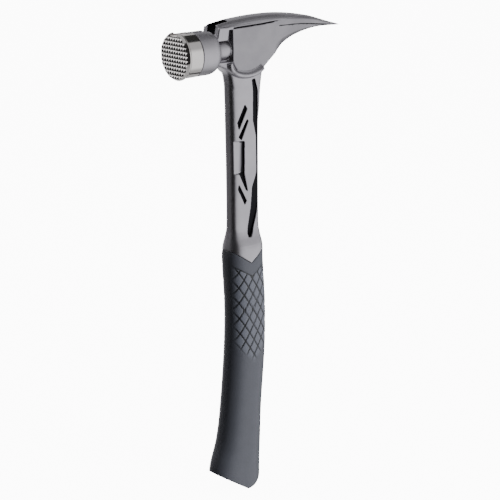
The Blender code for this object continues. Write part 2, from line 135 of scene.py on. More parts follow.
def oval(centre_x, half_depth, half_thickness, z, power, count=96):
    """Points round a rounded rectangle: power 2 is an ellipse, and a higher power is squarer."""
    points = []
    for step in range(count):
        angle = 2 * math.pi * (step + 0.5) / count
        across, along = math.sin(angle), math.cos(angle)
        x = centre_x + half_depth * math.copysign(abs(along) ** (2 / power), along)
        y = half_thickness * math.copysign(abs(across) ** (2 / power), across)
        points.append(Vector((x, y, z)))
    return points


def loft(sections):
    """A closed solid through rings of points."""
    bm = bmesh.new()
    loops = []
    for index, section in enumerate(sections):
        ring = bmesh.ops.create_circle(bm, segments=len(section), radius=1)["verts"]
        for vert, point in zip(ring, section):
            vert.co = point
        edges = list({edge for vert in ring for edge in vert.link_edges})
        loops.append(edges)
        if index:
            bmesh.ops.bridge_loops(bm, edges=loops[-2] + loops[-1])
        if index in (0, len(sections) - 1):
            bmesh.ops.contextual_create(bm, geom=edges)
    bmesh.ops.recalc_face_normals(bm, faces=bm.faces[:])
    return bm


def turned(profile, rise=0.0, steps=96):
    """A solid turned about a line along X, from (x, radius) points that start and end on that line."""
    bm = bmesh.new()
    verts = [bm.verts.new((x, 0, radius)) for x, radius in profile]
    edges = [bm.edges.new(pair) for pair in zip(verts, verts[1:])]
    bmesh.ops.spin(
        bm, geom=verts + edges, cent=(0, 0, 0), axis=(1, 0, 0), angle=2 * math.pi, steps=steps, use_merge=True
    )
    bmesh.ops.remove_doubles(bm, verts=bm.verts[:], dist=0.001)
    bmesh.ops.recalc_face_normals(bm, faces=bm.faces[:])
    half_step = Matrix.Rotation(math.pi / steps, 3, "X")
    bmesh.ops.rotate(bm, verts=bm.verts[:], cent=(0, 0, 0), matrix=half_step)
    bmesh.ops.translate(bm, verts=bm.verts[:], vec=(0, 0, HEAD_Z + rise))
    return bm


def prism(outline, y_low, y_high):
    """An outline of (x, z) points extruded across the hammer."""
    bm = bmesh.new()
    face = bm.faces.new([bm.verts.new((x, y_low, z)) for x, z in outline])
    made = bmesh.ops.extrude_face_region(bm, geom=[face])["geom"]
    moved = [item for item in made if isinstance(item, bmesh.types.BMVert)]
    bmesh.ops.translate(bm, verts=moved, vec=(0, y_high - y_low, 0))
    bmesh.ops.recalc_face_normals(bm, faces=bm.faces[:])
    return bm


def box(low, high):
    """A block between two opposite corners."""
    bm = bmesh.new()
    size, centre = Vector(high) - Vector(low), (Vector(high) + Vector(low)) / 2
    bmesh.ops.create_cube(bm, size=1, matrix=Matrix.Translation(centre) @ Matrix.Diagonal(size).to_4x4())
    return bm


def new_object(bm, name):
    """Puts a bmesh into the scene as an object, still in millimetres."""
    mesh = bpy.data.meshes.new(name)
    bm.to_mesh(mesh)
    bm.free()
    made = bpy.data.objects.new(name, mesh)
    bpy.context.collection.objects.link(made)
    return made


# %% [markdown]
# ## Helpers for Booleans and finishing
#
# `combine` stacks one Boolean modifier per helper shape. `baked` then replaces the mesh by what the modifiers
# make of it, and removes the helper shapes.
#
# `cast` gives a solid the soft edges of a casting. A voxel Remesh rebuilds the surface as small even squares,
# a Smooth rounds every edge by about one square, and a Decimate brings the count back down.


# %%
def combine(piece, operation, helpers):
    """Adds one Boolean modifier for each bmesh in helpers."""
    for number, bm in enumerate(helpers):
        helper = new_object(bm, f"{piece.name}_{operation.lower()}_{number}")
        helper.hide_render = True
        modifier = piece.modifiers.new(helper.name, "BOOLEAN")
        modifier.operation = operation
        modifier.solver = "MANIFOLD"
        modifier.object = helper


def baked(piece):
    """Applies every modifier of a piece and removes the helpers that they used."""
    helpers = [modifier.object for modifier in piece.modifiers if modifier.type == "BOOLEAN"]
    graph = bpy.context.evaluated_depsgraph_get()
    result = bpy.data.meshes.new_from_object(piece.evaluated_get(graph))
    piece.modifiers.clear()
    piece.data = result
    for helper in helpers:
        bpy.data.objects.remove(helper, do_unlink=True)
    print(piece.name, "has", len(result.polygons), "faces")
    return piece


def cast(piece, voxel, smoothing, keep):
    """Rebuilds a solid with soft edges, as a casting or a moulding has."""
    remesh = piece.modifiers.new("voxels", "REMESH")
    remesh.mode = "VOXEL"
    remesh.voxel_size = voxel
    soft = piece.modifiers.new("soft edges", "SMOOTH")
    soft.factor = 0.5
    soft.iterations = smoothing
    thin = piece.modifiers.new("fewer faces", "DECIMATE")
    thin.ratio = keep
    return baked(piece)


def finish(piece, material, body, node, sharp_degrees=180):
    """Turns millimetres into metres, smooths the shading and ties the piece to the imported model."""
    piece.data.transform(Matrix.Scale(0.001, 4))
    piece.data.materials.clear()
    piece.data.materials.append(material)
    piece.data.shade_smooth()
    if sharp_degrees < 180:
        piece.data.set_sharp_from_angle(angle=math.radians(sharp_degrees))
    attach(piece, body)
    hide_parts(node)
    size = [round(1000 * side, 1) for side in piece.dimensions]
    print(piece.name, "is", size, "mm")
    return piece


# %% [markdown]
# ## The camera
#
# The camera stands to the front left of the hammer, a little above the head, with a long lens. Its three axes
# are given as the columns of a rotation: right, up and backwards.

# %%
camera_data = bpy.data.cameras.new("camera")
camera_data.lens = 122.4
camera_data.clip_end = 50
camera = bpy.data.objects.new("camera", camera_data)
bpy.context.collection.objects.link(camera)
right = Vector((0.78977, -0.61294, -0.02395))
up = Vector((0.18515, 0.20097, 0.96194))
turn = Matrix((right, up, right.cross(up))).transposed()
camera.matrix_world = Matrix.Translation((-0.77092, -1.04715, 0.56348)) @ turn.to_4x4()
bpy.context.scene.camera = camera

# %% [markdown]
# ## Helpers for colours and nodes
#
# `hex_colour` turns a colour as a screen shows it into the linear numbers that Blender's shaders use.
#
# `add_node` makes one node, gives its sockets values and links, and returns it. A value can be a number, a
# colour, or another node's output socket.


# %%
def hex_colour(text):
    """Linear red, green, blue and alpha of a screen colour such as "8f9094"."""
    shares = [int(text[place : place + 2], 16) / 255 for place in (0, 2, 4)]
    linear = [share / 12.92 if share <= 0.04045 else ((share + 0.055) / 1.055) ** 2.4 for share in shares]
    return (*linear, 1.0)


def add_node(tree, kind, inputs=None, **settings):
    """One node of a kind, with settings such as operation, and inputs by name or number."""
    node = tree.nodes.new(kind)
    for name, value in settings.items():
        setattr(node, name, value)
    for key, value in (inputs or {}).items():
        if isinstance(value, bpy.types.NodeSocket):
            tree.links.new(value, node.inputs[key])
        else:
            node.inputs[key].default_value = value
    return node


# %% [markdown]
# ## The light
#
# Metal shows little of its own colour: it shows the room. So the room is drawn as a plain grey world with
# soft panels in it, some bright and some dark. Each panel is a direction, how wide it is, and how bright.
#
# The dot product of two directions is the cosine of the angle between them. A Map Range turns that into a
# weight with a soft edge, and a Mix sets the panel's brightness.
#
# A Light Path node tells what kind of ray meets the room. Dull surfaces get less of its light than shiny ones
# do, which leaves room for the lamps, and the camera sees the room as plain white.


# %%
def panel_direction(azimuth, elevation):
    """A direction from its compass angle about Z, counted from +X towards +Y, and its height in degrees."""
    turn, lift = math.radians(azimuth), math.radians(elevation)
    return (math.cos(turn) * math.cos(lift), math.sin(turn) * math.cos(lift), math.sin(lift))


PANELS = (
    # azimuth, elevation, radius of the full panel, radius where it has faded out, brightness
    (-52, -18, 28, 48, 1.8),  # broad panel to the right of the camera: lights the hammer's side
    (12, 58, 20, 24, 0.05),  # dark ceiling over it
    (178, -8, 56, 64, 0.03),  # dark screen to the left: the dark band down the handle's front
    (-138, 14, 41, 48, 0.04),  # the dark room behind the camera
    (24, -14, 18, 28, 0.05),  # dark screen to the right: the handle's rear corner
    (121, 28, 10, 20, 2.4),  # panel behind the hammer on the left: the upper sides of the teeth
    (76, -16, 12, 24, 2.4),  # strip behind the hammer: the thin light edge and the far sides of the teeth
)
ROOM_GREY = 0.8
FILL = 0.45  # share of the room's light that falls on dull surfaces
PAPER_WHITE = 11.0  # how bright the room and the floor look to the camera

world = bpy.data.worlds.new("studio")
bpy.context.scene.world = world
world.use_nodes = True
tree = world.node_tree
tree.nodes.clear()
direction = add_node(tree, "ShaderNodeTexCoord").outputs["Generated"]
brightness = add_node(tree, "ShaderNodeValue")
brightness.outputs[0].default_value = ROOM_GREY
light = brightness.outputs[0]
for azimuth, elevation, full, faded, strength in PANELS:
    aim = panel_direction(azimuth, elevation)
    cosine = add_node(tree, "ShaderNodeVectorMath", {0: direction, 1: aim}, operation="DOT_PRODUCT")
    weight = add_node(
        tree,
        "ShaderNodeMapRange",
        {
            "Value": cosine.outputs["Value"],
            "From Min": math.cos(math.radians(faded)),
            "From Max": math.cos(math.radians(full)),
        },
        interpolation_type="SMOOTHSTEP",
    )
    mix = add_node(
        tree,
        "ShaderNodeMix",
        {"Factor": weight.outputs["Result"], "A": light, "B": strength},
        data_type="FLOAT",
    )
    light = mix.outputs["Result"]
ray = add_node(tree, "ShaderNodeLightPath").outputs
dimmed = add_node(tree, "ShaderNodeMath", {0: light, 1: FILL}, operation="MULTIPLY").outputs[0]
filled = add_node(
    tree,
    "ShaderNodeMix",
    {"Factor": ray["Is Diffuse Ray"], "A": light, "B": dimmed},
    data_type="FLOAT",
)
shown = add_node(
    tree,
    "ShaderNodeMix",
    {"Factor": ray["Is Camera Ray"], "A": filled.outputs["Result"], "B": PAPER_WHITE},
    data_type="FLOAT",
)
background = add_node(
    tree, "ShaderNodeBackground", {"Color": hex_colour("fdfdff"), "Strength": shown.outputs["Result"]}
)
add_node(tree, "ShaderNodeOutputWorld", {"Surface": background.outputs[0]})
print("world panels:", len(PANELS))

# %% [markdown]
# One large lamp hangs over the hammer, and a smaller one lights its right side.

# %%
def add_lamp(name, location, size, energy):
    """A round lamp that points at the middle of the hammer and doesn't show in reflections."""
    lamp_data = bpy.data.lights.new(name, "AREA")
    lamp_data.shape = "DISK"
    lamp_data.size = size
    lamp_data.energy = energy
    lamp = bpy.data.objects.new(name, lamp_data)
    lamp.location = location
    aim = Vector((0.02, 0.0, 0.18)) - Vector(location)
    lamp.rotation_euler = aim.to_track_quat("-Z", "Y").to_euler()
    lamp.visible_glossy = False
    bpy.context.collection.objects.link(lamp)


add_lamp("overhead", (0.3, 0.2, 2.2), 2.4, 20)
add_lamp("side", (0.35, -1.4, 0.4), 0.5, 15)

# %% [markdown]
# ## The floor
#
# The floor is one large pale square that glows a little, like paper lit from behind. It is left out of
# reflections and of bounced light, so the hammer shows the panels and not the floor.

# %%
floor_bm = bmesh.new()
bmesh.ops.create_grid(floor_bm, x_segments=1, y_segments=1, size=6)
floor = new_object(floor_bm, "floor")
floor.location.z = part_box("rubber_grip")[0].z
floor.visible_glossy = False
floor.visible_diffuse = False
paper = bpy.data.materials.new("pale floor")
paper.use_nodes = True
paper_shader = paper.node_tree.nodes["Principled BSDF"]
paper_shader.inputs["Base Color"].default_value = hex_colour("f4f4f4")
paper_shader.inputs["Roughness"].default_value = 0.9
paper_shader.inputs["Emission Color"].default_value = hex_colour("ffffff")
paper_shader.inputs["Emission Strength"].default_value = PAPER_WHITE
floor.data.materials.append(paper)

# %% [markdown]
# ## Materials
#
# `metal` makes a Principled metal whose roughness and surface vary a little with 3-D noise. The noise is read
# in Object coordinates, so its scale is in grains per metre and doesn't depend on the piece's shape.


# %%
def new_material(name):
    """An empty material, its tree, its Principled node and its Object coordinates."""
    material = bpy.data.materials.new(name)
    material.use_nodes = True
    tree = material.node_tree
    shader = tree.nodes["Principled BSDF"]
    place = add_node(tree, "ShaderNodeTexCoord").outputs["Object"]
    return material, tree, shader, place


def metal(name, colour, dark_colour, roughness, grain_mm, grain_height_mm):
    """A metal whose fine grain tilts its surface and whose broad mottling shifts its colour."""
    material, tree, shader, place = new_material(name)
    broad = add_node(tree, "ShaderNodeTexNoise", {"Vector": place, "Scale": 60.0, "Detail": 4.0})
    tint = add_node(
        tree,
        "ShaderNodeMix",
        {"Factor": broad.outputs["Fac"], "A": hex_colour(dark_colour), "B": hex_colour(colour)},
        data_type="RGBA",
    )
    tree.links.new(tint.outputs["Result"], shader.inputs["Base Color"])
    shader.inputs["Metallic"].default_value = 1.0
    finish_range = add_node(
        tree,
        "ShaderNodeMapRange",
        {
            "Value": broad.outputs["Fac"],
            "From Min": 0.3,
            "From Max": 0.7,
            "To Min": roughness * 1.1,
            "To Max": roughness * 0.9,
        },
    )
    tree.links.new(finish_range.outputs["Result"], shader.inputs["Roughness"])
    fine = add_node(tree, "ShaderNodeTexNoise", {"Vector": place, "Scale": 1000.0 / grain_mm, "Detail": 3.0})
    bump = add_node(
        tree,
        "ShaderNodeBump",
        {"Height": fine.outputs["Fac"], "Strength": 1.0, "Distance": grain_height_mm / 1000},
    )
    tree.links.new(bump.outputs["Normal"], shader.inputs["Normal"])
    return material, tree, shader, tint


titanium, titanium_tree, titanium_shader, titanium_tint = metal(
    "bead-blasted cast titanium", "aaa8ad", "9e9ca1", 0.45, 0.7, 0.010
)
steel, steel_tree, steel_shader, steel_tint = metal(
    "polished tool steel", "c4c1bf", "b9b6b4", 0.13, 1.5, 0.001
)
black_steel, _, _, _ = metal("black oxide steel", "2c2c2e", "1f1f21", 0.45, 0.8, 0.004)
nickel, _, _, _ = metal("nickel plate", "c8c2b8", "bab4aa", 0.25, 1.0, 0.002)

# %% [markdown]
# The flat tips of the face's teeth are rubbed dull and bright by use. An attribute named "worn" marks them,
# and is filled in when the face is built.

# %%
worn = add_node(steel_tree, "ShaderNodeAttribute", attribute_name="worn").outputs["Fac"]
polish = steel_shader.inputs["Roughness"].links[0].from_socket
wear = add_node(steel_tree, "ShaderNodeMix", {"Factor": worn, "A": polish, "B": 0.6}, data_type="FLOAT")
steel_tree.links.new(wear.outputs["Result"], steel_shader.inputs["Roughness"])
bright = add_node(
    steel_tree,
    "ShaderNodeMix",
    {"Factor": worn, "A": steel_tint.outputs["Result"], "B": hex_colour("fbfaf9")},
    data_type="RGBA",
)
steel_tree.links.new(bright.outputs["Result"], steel_shader.inputs["Base Color"])

# %% [markdown]
# Shade is painted into the titanium's colour. The sunk shapes on the handle, the grooves under the head's
# band and claw, and the nail slot are coloured near black, and the head's sides a little darker than the
# handle. A
# point attribute marks this painted shade: 1 in a sunk shape, a little on the head's sides, and 0 elsewhere.
# It is filled in when the frame is built.

# %%
# Painted shade: the titanium's colour is mixed towards near black 1b1b1e as the attribute rises to 1.
painted_shade = add_node(titanium_tree, "ShaderNodeAttribute", attribute_name="painted_shade")
shade_colour_mix = add_node(
    titanium_tree,
    "ShaderNodeMix",
    {"Factor": painted_shade.outputs["Fac"], "A": titanium_tint.outputs["Result"], "B": hex_colour("1b1b1e")},
    data_type="RGBA",
)
titanium_tree.links.new(shade_colour_mix.outputs["Result"], titanium_shader.inputs["Base Color"])

# %% [markdown]
# ## The handle and grip's outline
#
# One table describes the whole handle, from below the butt up into the head. Each row holds a height, then
# the section's centre, half depth, half thickness and squareness there. The bare handle is a squarish bar,
# and the grip is a plump oval that leans forwards at the bottom.

# %%
HANDLE_LINE = (
    (-14.0, 7.0, 23.5, 14.0, 2.5),
    (12.0, 8.9, 22.3, 14.0, 2.5),
    (34.0, 13.2, 19.2, 13.6, 2.5),
    (60.0, 16.5, 17.6, 13.3, 2.5),
    (110.4, 22.0, 17.3, 13.3, 2.5),
    (147.2, 23.6, 17.0, 13.3, 2.5),
    (186.0, 22.4, 16.4, 13.0, 2.8),
    (197.0, 23.0, 15.6, 11.7, 3.4),
    (205.0, 23.2, 14.2, 8.6, 4.0),
    (212.0, 23.4, 13.2, 7.0, 4.5),
    (265.3, 24.6, 13.1, 7.0, 4.5),
    (297.0, 25.2, 13.5, 7.0, 4.5),
    (308.0, 26.0, 14.2, 7.0, 4.5),
    (320.0, 26.5, 14.8, 7.0, 4.5),
    (335.3, 27.5, 16.4, 7.0, 4.5),
    (345.3, 26.7, 20.2, 7.0, 4.5),
)


def handle_section(z):
    """Centre x, half depth, half thickness and power at one height."""
    return [smooth([(row[0], row[item]) for row in HANDLE_LINE], z) for item in range(1, 5)]


def handle_solid(z_low, z_high, steps):
    """The outer shape between two heights."""
    sections = []
    for z in spread(z_low, z_high, steps):
        centre_x, half_depth, half_thickness, power = handle_section(z)
        sections.append(oval(centre_x, half_depth, half_thickness, z, power))
    return loft(sections)


def tang_solid(clearance):
    """The bar inside the grip, which is part of the casting."""
    sections = []
    for z in spread(24.0 - clearance, 200.0, 12):
        sections.append(oval(handle_section(z)[0], 9.0 + clearance, 4.5 + clearance, z, 5.0))
    return loft(sections)


def above_seam(drop):
    """Everything above the V-shaped seam, lowered by a gap for the grip's side of it."""
    middle, reach, top = HANDLE_X - 3.0, 60.0, HEAD_Z + 20
    low, side = SEAM_Z - drop, SEAM_Z - drop + SEAM_SLOPE * 60.0
    outline = [(middle, low), (middle + reach, side), (middle + reach, top), (middle - reach, top)]
    return prism(outline + [(middle - reach, side)], -40, 40)


# %% [markdown]
# ## The head's outline
#
# The head is a loft of slices from the nail slot back to the claw tips. Each slice has a crowned top band, a
# cheek set in under the band's edge, and a foot. Behind the handle the cheek turns into the claw: a blade
# with a narrower web under it.
#
# Four lines give the heights of a slice above the face's axis, against its place along the claw: 0 is the
# handle's centre line and 1 the claw's tip.


# %%
TOP_LINE = ((-0.28, 21.6), (-0.12, 23.6), (0.15, 24.8), (0.40, 23.7), (0.68, 19.0), (0.88, 12.7), (1.0, 9.0))
LIP_LINE = ((-0.28, 18.0), (0.1, 18.4), (0.4, 19.0), (0.7, 14.8), (0.88, 10.6), (1.0, 8.6))
CREASE_LINE = ((0.3, 15.0), (0.36, 14.8), (0.56, 14.0), (0.77, 11.5), (1.0, 8.4))
UNDER_LINE = ((0.16, -18.6), (0.24, -12.0), (0.36, -3.2), (0.52, 4.2), (0.73, 8.6), (1.0, 8.2))


def claw_share(x):
    """Place along the claw: 0 at the handle's centre line and 1 at the tip."""
    return (x - HANDLE_X) / CLAW_REACH


def head_section(x):
    """One slice across the head at one place along it."""
    share = claw_share(x)
    top, lip, crease, under = [smooth(line, share) for line in (TOP_LINE, LIP_LINE, CREASE_LINE, UNDER_LINE)]
    drop = 6.0 * (1 - 0.85 * max(0.0, (share - 0.25) / 0.75))
    narrowing = max(0.0, (share - 0.3) / 0.7) ** 1.6
    half = BAND_HALF_WIDTH + (TIP_HALF_WIDTH - BAND_HALF_WIDTH) * narrowing
    if x < HANDLE_X + 2.5:
        bottom = 12.0 * ((HANDLE_X + 2.5 - x) / 15.1) ** 2.6 - 21.2
    else:
        bottom = max(under, -21.2)
    fade_in = min(1.0, max(0.0, (share - 0.30) / 0.10))
    lip_inset = 1.4 * (1 - fade_in)
    web_inset = 1.5 * fade_in * min(1.0, 0.25 + (1 - share) / 0.5)
    lip = min(lip, top - 0.5)
    crease = max(min(crease, lip - 0.8), bottom + 0.3)
    cheek = half - lip_inset
    web = cheek - web_inset
    foot = min(3.5, 0.35 * (crease - bottom)) * fade_in + 0.8
    side = [
        (0.30 * half, top - 0.06 * drop),
        (0.55 * half, top - 0.20 * drop),
        (0.76 * half, top - 0.42 * drop),
        (0.91 * half, top - 0.68 * drop),
        (half, max(top - drop, lip + 0.15)),
        (half, lip),
        (cheek, lip - 0.5),
        (cheek, crease),
        (web, crease - 0.2),
        (web - 0.3 * foot, bottom + 0.35 * (crease - bottom)),
        (web - foot, bottom + 0.1),
        (0.5 * (web - foot), bottom),
    ]
    right_side = [Vector((x, y, HEAD_Z + z)) for y, z in side]
    left_side = [Vector((x, -y, HEAD_Z + z)) for y, z in reversed(side)]
    return [Vector((x, 0, HEAD_Z + top))] + right_side + left_side


def head_solid():
    """The cheek plates, the band over them and the claw."""
    front = 12.4
    return loft([head_section(x) for x in spread(front, HANDLE_X + CLAW_REACH, 90)])


def band_solid():
    """The top band in front of the cheek plates, which carries the two prongs."""
    sections = []
    for x in spread(-1.2, 15.0, 12):
        top = smooth(TOP_LINE[:3], claw_share(x))
        side = [(0.30, top - 0.36), (0.55, top - 1.2), (0.76, top - 2.5), (0.91, top - 4.1)]
        side += [(1.0, 18.3), (1.0, 16.4)]
        outline = [(0.0, top)] + side + [(-y, z) for y, z in reversed(side)]
        sections.append([Vector((x, y * BAND_HALF_WIDTH, HEAD_Z + z)) for y, z in outline])
    return loft(sections)


def prong_solid():
    """The deep block under the front of the band. Its front is raked, and the nail slot splits it in two."""
    outline = [(-1.2, 18.6), (8.4, 18.4), (6.5, 8.6), (-3.6, 8.6)]
    return prism([(x, HEAD_Z + z) for x, z in outline], -BAND_HALF_WIDTH, BAND_HALF_WIDTH)


def neck_web():
    """The thin wall behind the prongs, which joins them to the cheek plates."""
    outline = [(4.0, 19.5), (16.0, 19.5), (16.0, -14.0), (8.0, -13.0), (4.0, -9.0)]
    return prism([(x, HEAD_Z + z) for x, z in outline], -3.6, 3.6)


def collar_solid():
    """The collar with the spigot's bore, its round shoulder, and the neck behind."""
    bore_end, bore_radius, front = SPIGOT_END_X + GAP, SPIGOT_RADIUS + GAP, SEAT_X + GAP
    profile = [(bore_end, 0), (bore_end, bore_radius), (front, bore_radius), (front, COLLAR_RADIUS)]
    for angle in spread(0.0, math.pi / 2, 14):
        x = COLLAR_WALL_END_X - 2.0 + 8.0 * math.sin(angle)
        profile.append((x, 10.6 + (COLLAR_RADIUS - 10.6) * math.cos(angle)))
    profile += [(-0.4, 9.6), (1.2, 8.9), (3.2, 8.4), (6.0, 8.2)]
    for angle in spread(0.2, math.pi / 2, 8):
        profile.append((6.0 + 8.0 * math.sin(angle), 5.0 + 3.2 * math.cos(angle)))
    profile += [(20.0, 5.0), (20.0, 0)]
    return turned(profile)


def ledge_solid():
    """The shelf under the neck, where the handle's front edge sweeps forwards to the collar."""
    front = ((324.0, 12.4), (330.0, 11.6), (335.9, 10.4), (339.5, 8.0), (341.7, 4.8), (343.3, 1.0))
    front += ((346.2, -3.4),)
    sections = []
    for z in spread(324.0, 346.6, 26):
        edge = smooth(front, z)
        sections.append(oval((edge + 30) / 2, (30 - edge) / 2, 7.0, z, 4.5))
    return loft(sections)


# %% [markdown]
# A raised bead runs round the bottom of each cheek plate in the shape of a U. It is a row of small rings
# along a curved path, joined by the same loft.


# %%
def bead_path():
    """Points down the middle of the bead, from the front of the cheek plate round to its rear."""
    rows = ((9.7, 345.6), (10.2, 342.0), (12.6, 338.8), (17.0, 336.0), (22.0, 334.6), (28.0, 334.2))
    rows += ((34.0, 335.0), (38.6, 336.8), (41.6, 338.6))
    return curve(rows, 48)


def bead_solid(side, inwards, half_width, y_middle, y_reach):
    """A round strip along the path of the bead, moved inwards. side is -1 on the near cheek, 1 on the far."""
    path = bead_path()
    sections = []
    for index, (x, z) in enumerate(path):
        before, after = path[max(index - 1, 0)], path[min(index + 1, len(path) - 1)]
        along = Vector((after[0] - before[0], 0, after[1] - before[1])).normalized()
        outwards = Vector((along.z, 0, -along.x))
        ring = []
        for step in range(12):
            angle = 2 * math.pi * step / 12
            offset = outwards * (half_width * math.cos(angle) - inwards)
            ring.append(Vector((x, side * y_middle + y_reach * math.sin(angle), z)) + offset)
        sections.append(ring)
    return loft(sections)


# %% [markdown]
# ## The sunk shapes
#
# Seven shapes are sunk into each side of the handle. Each is an outline seen from the side, and a depth.

# %%
PANEL = (HANDLE_X, 269.0)
SLANTED = (
    ((-1.2, 42.3), (0.9, 38.8), (-7.8, 22.6), (-8.8, 28.8)),
    ((0.7, 30.5), (1.8, 29.1), (-5.5, 14.5), (-8.1, 17.1)),
    ((-8.6, -12.0), (-3.6, -11.6), (-0.3, -27.7), (-2.2, -26.1)),
    ((-9.0, -20.6), (-1.7, -35.0), (-3.7, -38.1), (-9.7, -24.9)),
)
FRONT_NOTCH = ((-18.0, 14.4), (-2.6, 13.4), (-3.4, -12.3), (-18.0, -12.6))
GROOVE_REAR_EDGE = ((6.4, 61), (9.2, 61.7), (12.0, 52), (11.6, 22), (11.0, -14), (10.5, -37), (8.5, -45.4))
GROOVE_FOOT = ((2.6, -61.7), (0.6, -65.0), (-2.0, -64.8), (-2.4, -61.5))
GROOVE_FRONT_EDGE = ((2.2, -41), (4.1, -24.4), (9.0, -13.5), (9.4, 15), (6.5, 29), (7.2, 52.7))
REAR_GROOVE = GROOVE_REAR_EDGE + GROOVE_FOOT + GROOVE_FRONT_EDGE


def placed(outline):
    """An outline moved from the panel's own place to the handle."""
    return [(PANEL[0] + x, PANEL[1] + z) for x, z in outline]


def sunk(outline, depth):
    """Two cutters, one for each side of the handle."""
    floor = HANDLE_HALF_THICKNESS - depth
    return [prism(placed(outline), floor, 20), prism(placed(outline), -20, -floor)]


def line_outline(level, x_low, x_high, height):
    """A long thin outline that follows one of the head's lines, tapered to a point at its rear end."""
    places = spread(x_low, x_high, 30)
    upper = [(x, level(x)) for x in places]
    lower = [(x, level(x) - height * min(1.0, 0.15 + (x_high - x) / 12)) for x in reversed(places)]
    return upper + lower


def lip_level(x):
    """Height of the shadow line under the top band's edge."""
    return HEAD_Z - 0.4 + smooth(LIP_LINE, claw_share(x))


def crease_level(x):
    """Height of the crease between the claw's top and its thinner web."""
    return HEAD_Z + smooth(CREASE_LINE, claw_share(x))


def claw_gap():
    """The V-shaped gap between the two claws."""
    tip, root = HANDLE_X + CLAW_REACH, HANDLE_X + CLAW_REACH - 47.0
    outline = [(root, 0.4), (root - 0.8, 0), (root, -0.4)]
    outline += [(tip, -3.3), (tip + 2, -3.3), (tip + 2, 3.3), (tip, 3.3)]
    gap = prism(outline, 0, 40)
    bmesh.ops.rotate(gap, verts=gap.verts[:], cent=(0, 0, 0), matrix=Matrix.Rotation(math.pi / 2, 3, "X"))
    bmesh.ops.translate(gap, verts=gap.verts[:], vec=(0, 0, HEAD_Z - 10))
    return gap


def bored(radius, x_low, x_high, rise):
    """A round cutter along X."""
    return turned([(x_low, 0), (x_low, radius), (x_high, radius), (x_high, 0)], rise, 32)


def top_groove():
    """The groove for a nail's shank, along the top of the face and the collar."""
    return box((FACE_X - 5, -4.5, HEAD_Z + 15.4), (-4.4, 4.5, HEAD_Z + 40))


# %% [markdown]
# ## The titanium frame
#
# All the solids above are joined into one, and the slots and sunk shapes are cut out. `cast` then softens it.

# %%
titanium_frame = new_object(handle_solid(SEAM_Z - 2, HEAD_Z - 10, 60), "frame")
combine(titanium_frame, "INTERSECT", [above_seam(0.0)])
bodies = [head_solid(), band_solid(), prong_solid(), neck_web()]
bodies += [collar_solid(), ledge_solid(), tang_solid(0.0)]
beads = [bead_solid(side, 0.0, 2.2, 7.2, 3.2) for side in (-1, 1)]
combine(titanium_frame, "UNION", bodies + beads)
cutters = [
    bored(SCREW_HOLE_RADIUS, SPIGOT_END_X - 3, COLLAR_WALL_END_X + 3, SCREW_RISE),
    bored(SCREW_CHANNEL_RADIUS, COLLAR_WALL_END_X, SLOT_END_X - 2, SCREW_RISE),
    box((-6.4, -SLOT_HALF_WIDTH, HEAD_Z + SCREW_RISE), (SLOT_END_X, SLOT_HALF_WIDTH, HEAD_Z + 40)),
    bored(MAGNET_HOLE_RADIUS, SLOT_END_X - 1, SLOT_END_X + 3.6, MAGNET_RISE),
    top_groove(),
    claw_gap(),
]
cutters += [bead_solid(side, 3.1, 0.8, 9.3, 1.6) for side in (-1, 1)]
lip_line = line_outline(lip_level, 12.0, 61.0, 1.1)
crease_line = line_outline(crease_level, 58.0, 116.0, 0.9)
cutters += [prism(lip_line, 8.0, 20), prism(lip_line, -20, -8.0)]
for outline in SLANTED:
    cutters += sunk(outline, 2.2)
cutters += sunk(FRONT_NOTCH, 1.6)
cutters += sunk(REAR_GROOVE, 1.8)
combine(titanium_frame, "DIFFERENCE", cutters)
baked(titanium_frame)
cast(titanium_frame, 0.42, 3, 0.42)

# %% [markdown]
# The painted shade attribute is filled in here. A point counts as inside an outline if a line from it to the
# left crosses the outline an odd number of times.


# %%
def inside(points, outline):
    """True for each (x, z) point that lies inside the outline."""
    x, z = points[:, 0], points[:, 1]
    crossings = np.zeros(len(points), int)
    for (x0, z0), (x1, z1) in zip(outline, outline[1:] + outline[:1]):
        spans = (z0 > z) != (z1 > z)
        at = x0 + (z - z0) * (x1 - x0) / ((z1 - z0) or 1e-9)
        crossings += spans & (at < x)
    return crossings % 2 == 1


def positions(mesh):
    """Every vertex of a mesh as one array."""
    flat = np.empty(len(mesh.vertices) * 3, np.float32)
    mesh.vertices.foreach_get("co", flat)
    return flat.reshape(-1, 3)


points = positions(titanium_frame.data)
# Painted shade at full strength: the sunk shapes, the notch's rear wall, the grooves under the band's edge
# and the claw's crease, and the nail slot.
shaded_points = np.zeros(len(points), bool)
for outline in SLANTED + (REAR_GROOVE,):
    shaded_points |= inside(points[:, [0, 2]], placed(outline))
notch_wall = inside(points[:, [0, 2]], placed(FRONT_NOTCH)) & (points[:, 0] > HANDLE_X - 6.4)
shaded_points = (shaded_points | notch_wall) & (np.abs(points[:, 1]) < 6.9)
head_lines = inside(points[:, [0, 2]], lip_line) | inside(points[:, [0, 2]], crease_line)
shaded_points |= head_lines & (np.abs(points[:, 1]) < 9.4)
nail_slot = (np.abs(points[:, 1]) < 5.0) & (np.abs(points[:, 0] - 2.0) < 8.6) & (points[:, 2] > HEAD_Z + 9)
shaded_points |= nail_slot
# Painted shade at 0.3 on the head's sides above the bead, so they read darker than the handle's cheeks.
plate = (points[:, 2] > 337) & (points[:, 0] > 12) & (points[:, 2] < 374.6)
shades = np.maximum(shaded_points * 1.0, plate * 0.3)
mark = titanium_frame.data.attributes.new("painted_shade", "FLOAT", "POINT")
mark.data.foreach_set("value", shades.astype(np.float32))
print("sunk points:", int(shaded_points.sum()), "of", len(points))
finish(titanium_frame, titanium, "hammer", "titanium_frame")

# %% [markdown]
# ## The striking face
#
# The face is turned like a wheel: a chamfer, a rim, a flange and a spigot. Its teeth are milled. Shallow
# V-shaped cuts run down the face and across it, and small flat-topped pyramids are left between them.

# %%
TOOTH_PITCH = 3.2
TOOTH_DEPTH = 0.85
TOOTH_LAND = 0.75  # width of a tooth's flat tip


